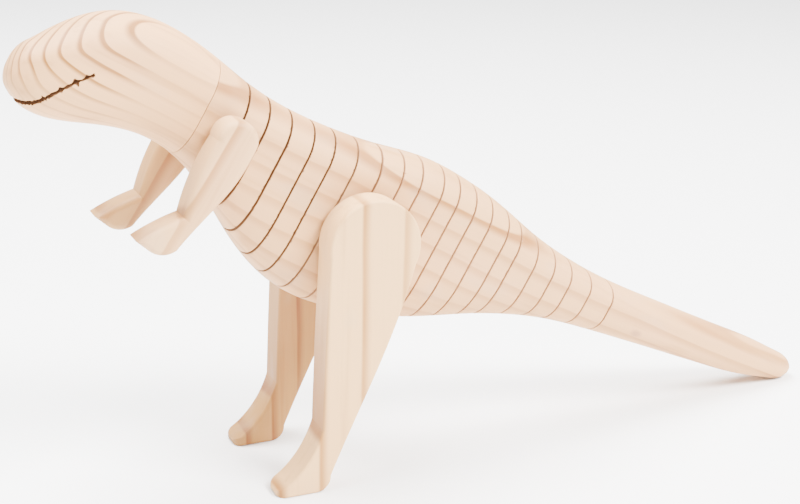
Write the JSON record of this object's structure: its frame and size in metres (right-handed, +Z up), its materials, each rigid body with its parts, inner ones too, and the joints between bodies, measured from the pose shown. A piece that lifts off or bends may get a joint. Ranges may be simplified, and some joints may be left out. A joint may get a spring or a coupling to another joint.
{
  "type": "flexible wooden toy dinosaur",
  "caption": "Pale pine dinosaur toy whose sliced body bends sideways on an inner strip, with a glued-on head, turning arms and two standing legs.",
  "frame": {"origin": "on the surface that the toy stands on, under the middle of its length and width", "axes": "-X towards the head, +X towards the tail, +Y towards the toy's right side, +Z up"},
  "size_m": [0.2851, 0.0522, 0.1505],
  "materials": {
    "pine_body": "fine sanded, unvarnished",
    "pine_head": "fine sanded, unvarnished",
    "pine_limb": "fine sanded, unvarnished",
    "dowel": "turned, unvarnished",
    "leather": "natural, undyed"
  },
  "bodies": {
    "hip": {"segment_07_left": "pine_body", "segment_07_right": "pine_body", "hip_peg_left": "dowel", "hip_peg_right": "dowel", "spine_strip": "leather"},
    "head": {"head_block": "pine_head", "neck_left": "pine_body", "neck_right": "pine_body", "shoulder_peg_left": "dowel", "shoulder_peg_right": "dowel"},
    "segment_01": {"segment_01_left": "pine_body", "segment_01_right": "pine_body"},
    "segment_02": {"segment_02_left": "pine_body", "segment_02_right": "pine_body"},
    "segment_03": {"segment_03_left": "pine_body", "segment_03_right": "pine_body"},
    "segment_04": {"segment_04_left": "pine_body", "segment_04_right": "pine_body"},
    "segment_05": {"segment_05_left": "pine_body", "segment_05_right": "pine_body"},
    "segment_06": {"segment_06_left": "pine_body", "segment_06_right": "pine_body"},
    "segment_08": {"segment_08_left": "pine_body", "segment_08_right": "pine_body"},
    "segment_09": {"segment_09_left": "pine_body", "segment_09_right": "pine_body"},
    "segment_10": {"segment_10_left": "pine_body", "segment_10_right": "pine_body"},
    "segment_11": {"segment_11_left": "pine_body", "segment_11_right": "pine_body"},
    "segment_12": {"segment_12_left": "pine_body", "segment_12_right": "pine_body"},
    "segment_13": {"segment_13_left": "pine_body", "segment_13_right": "pine_body"},
    "segment_14": {"segment_14_left": "pine_body", "segment_14_right": "pine_body"},
    "segment_15": {"segment_15_left": "pine_body", "segment_15_right": "pine_body"},
    "segment_16": {"segment_16_left": "pine_body", "segment_16_right": "pine_body"},
    "segment_17": {"segment_17_left": "pine_body", "segment_17_right": "pine_body"},
    "segment_18": {"segment_18_left": "pine_body", "segment_18_right": "pine_body"},
    "segment_19": {"segment_19_left": "pine_body", "segment_19_right": "pine_body"},
    "tail": {"tail_end": "pine_body"},
    "leg_left": {"leg_left": "pine_limb"},
    "arm_left": {"arm_left": "pine_limb"},
    "leg_right": {"leg_right": "pine_limb"},
    "arm_right": {"arm_right": "pine_limb"}
  },
  "joints": [
    {"name": "bend_01", "type": "hinge", "parent": "segment_01", "child": "head", "pos_m": [-0.08007, 0, 0.11294], "axis": [0.5, 0, 0.866], "range_deg": [-2.5, 2.5], "deforming": ["spine_strip"]},
    {"name": "bend_02", "type": "hinge", "parent": "segment_02", "child": "segment_01", "pos_m": [-0.07471, 0, 0.10663], "axis": [0.5, 0, 0.866], "range_deg": [-2.5, 2.5], "deforming": ["spine_strip"]},
    {"name": "bend_03", "type": "hinge", "parent": "segment_03", "child": "segment_02", "pos_m": [-0.06899, 0, 0.10015], "axis": [0.5, 0, 0.866], "range_deg": [-2.5, 2.5], "deforming": ["spine_strip"]},
    {"name": "bend_04", "type": "hinge", "parent": "segment_04", "child": "segment_03", "pos_m": [-0.06271, 0, 0.09441], "axis": [0.5, 0, 0.866], "range_deg": [-2.5, 2.5], "deforming": ["spine_strip"]},
    {"name": "bend_05", "type": "hinge", "parent": "segment_05", "child": "segment_04", "pos_m": [-0.05705, 0, 0.08923], "axis": [0.5, 0, 0.866], "range_deg": [-2.5, 2.5], "deforming": ["spine_strip"]},
    {"name": "bend_06", "type": "hinge", "parent": "segment_06", "child": "segment_05", "pos_m": [-0.04997, 0, 0.08508], "axis": [0.5, 0, 0.866], "range_deg": [-2.5, 2.5], "deforming": ["spine_strip"]},
    {"name": "bend_07", "type": "hinge", "parent": "hip", "child": "segment_06", "pos_m": [-0.04255, 0, 0.08074], "axis": [0.5, 0, 0.866], "range_deg": [-2.5, 2.5], "deforming": ["spine_strip"]},
    {"name": "bend_08", "type": "hinge", "parent": "hip", "child": "segment_08", "pos_m": [-0.03513, 0, 0.07798], "axis": [0.5, 0, 0.866], "range_deg": [-2.5, 2.5], "deforming": ["spine_strip"]},
    {"name": "bend_09", "type": "hinge", "parent": "segment_08", "child": "segment_09", "pos_m": [-0.02865, 0, 0.07561], "axis": [0.5, 0, 0.866], "range_deg": [-2.5, 2.5], "deforming": ["spine_strip"]},
    {"name": "bend_10", "type": "hinge", "parent": "segment_09", "child": "segment_10", "pos_m": [-0.02092, 0, 0.07259], "axis": [0.5, 0, 0.866], "range_deg": [-2.5, 2.5], "deforming": ["spine_strip"]},
    {"name": "bend_11", "type": "hinge", "parent": "segment_10", "child": "segment_11", "pos_m": [-0.01473, 0, 0.07011], "axis": [0.5, 0, 0.866], "range_deg": [-2.5, 2.5], "deforming": ["spine_strip"]},
    {"name": "bend_12", "type": "hinge", "parent": "segment_11", "child": "segment_12", "pos_m": [-0.00795, 0, 0.06747], "axis": [0.5, 0, 0.866], "range_deg": [-2.5, 2.5], "deforming": ["spine_strip"]},
    {"name": "bend_13", "type": "hinge", "parent": "segment_12", "child": "segment_13", "pos_m": [-0.00102, 0, 0.06486], "axis": [0.5, 0, 0.866], "range_deg": [-2.5, 2.5], "deforming": ["spine_strip"]},
    {"name": "bend_14", "type": "hinge", "parent": "segment_13", "child": "segment_14", "pos_m": [0.00643, 0, 0.06198], "axis": [0.5, 0, 0.866], "range_deg": [-2.5, 2.5], "deforming": ["spine_strip"]},
    {"name": "bend_15", "type": "hinge", "parent": "segment_14", "child": "segment_15", "pos_m": [0.01227, 0, 0.05949], "axis": [0.5, 0, 0.866], "range_deg": [-2.5, 2.5], "deforming": ["spine_strip"]},
    {"name": "bend_16", "type": "hinge", "parent": "segment_15", "child": "segment_16", "pos_m": [0.02024, 0, 0.05609], "axis": [0.5, 0, 0.866], "range_deg": [-2.5, 2.5], "deforming": ["spine_strip"]},
    {"name": "bend_17", "type": "hinge", "parent": "segment_16", "child": "segment_17", "pos_m": [0.02785, 0, 0.05266], "axis": [0.5, 0, 0.866], "range_deg": [-2.6, 2.6], "deforming": ["spine_strip"]},
    {"name": "bend_18", "type": "hinge", "parent": "segment_17", "child": "segment_18", "pos_m": [0.03517, 0, 0.04936], "axis": [0.5, 0, 0.866], "range_deg": [-2.6, 2.6], "deforming": ["spine_strip"]},
    {"name": "bend_19", "type": "hinge", "parent": "segment_18", "child": "segment_19", "pos_m": [0.0437, 0, 0.04532], "axis": [0.5, 0, 0.866], "range_deg": [-2.7, 2.7], "deforming": ["spine_strip"]},
    {"name": "bend_20", "type": "hinge", "parent": "segment_19", "child": "tail", "pos_m": [0.05329, 0, 0.04074], "axis": [0.5, 0, 0.866], "range_deg": [-2.8, 2.8], "deforming": ["spine_strip"]},
    {"name": "hip_left", "type": "hinge", "parent": "hip", "child": "leg_left", "pos_m": [-0.03954, -0.0206, 0.07814], "axis": [0, 1, 0], "range_deg": [-20, 25]},
    {"name": "hip_right", "type": "hinge", "parent": "hip", "child": "leg_right", "pos_m": [-0.03954, 0.0206, 0.07814], "axis": [0, 1, 0], "range_deg": [-20, 25]},
    {"name": "shoulder_left", "type": "hinge", "parent": "head", "child": "arm_left", "pos_m": [-0.08547, -0.0206, 0.1132], "axis": [0, 1, 0], "range_deg": [-10, 60]},
    {"name": "shoulder_right", "type": "hinge", "parent": "head", "child": "arm_right", "pos_m": [-0.08808, 0.0206, 0.10928], "axis": [0, 1, 0], "range_deg": [-10, 60]}
  ]
}
